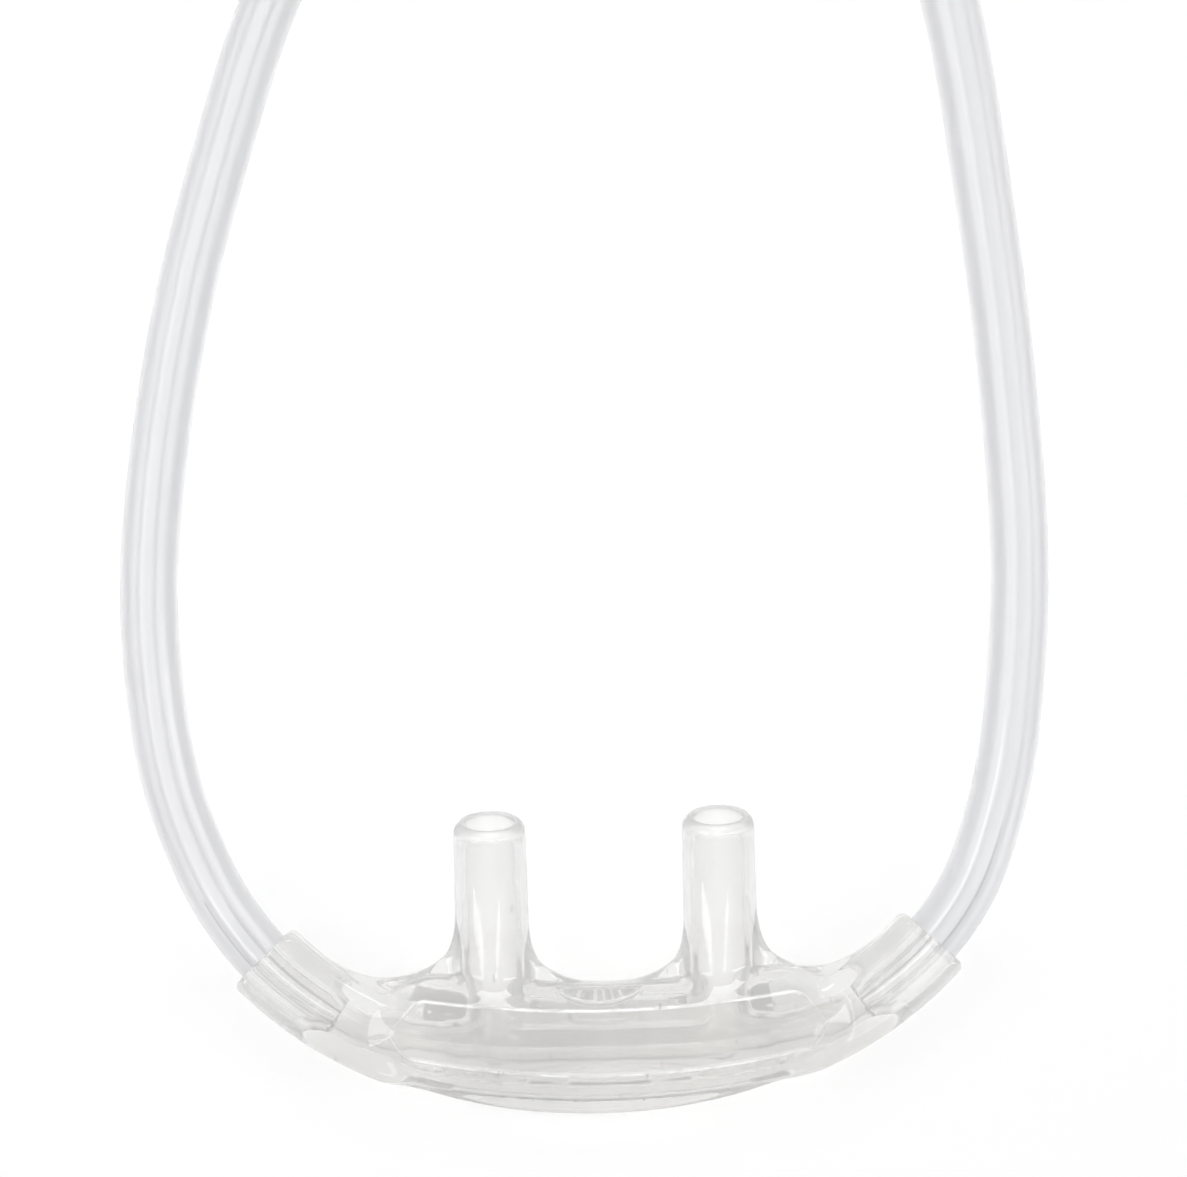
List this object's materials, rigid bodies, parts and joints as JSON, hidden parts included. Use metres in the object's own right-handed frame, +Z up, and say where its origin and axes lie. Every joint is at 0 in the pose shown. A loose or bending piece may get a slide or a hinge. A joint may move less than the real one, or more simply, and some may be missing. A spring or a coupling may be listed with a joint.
{
  "type": "nasal oxygen cannula",
  "caption": "Clear soft nasal cannula: moulded facepiece with two curved prongs, twin side tubes wound into a coil, a slider and a Y connector for the supply tube.",
  "frame": {"origin": "under the middle of the facepiece, on the surface that it lies on", "axes": "+X along the facepiece towards its right sleeve, +Y the way the prongs point, +Z up from the surface"},
  "size_m": [0.0704, 0.1747, 0.0078],
  "materials": {
    "facepiece_vinyl": "clear soft PVC, smooth and glossy, faintly warm",
    "tube_vinyl": "clear soft PVC tube, slightly frosted",
    "fitting_vinyl": "clear moulded PVC, smooth"
  },
  "bodies": {
    "cannula": {"facepiece": "facepiece_vinyl", "left_tube": "tube_vinyl", "right_tube": "tube_vinyl", "tube_coil": "tube_vinyl", "left_tube_tail": "tube_vinyl", "right_tube_tail": "tube_vinyl", "y_connector": "fitting_vinyl"},
    "slider": {"slider": "fitting_vinyl"}
  },
  "joints": [
    {"name": "slider_slide", "type": "slide", "parent": "cannula", "child": "slider", "axis": [0, 1, 0], "range_m": [0, 0.013]}
  ]
}
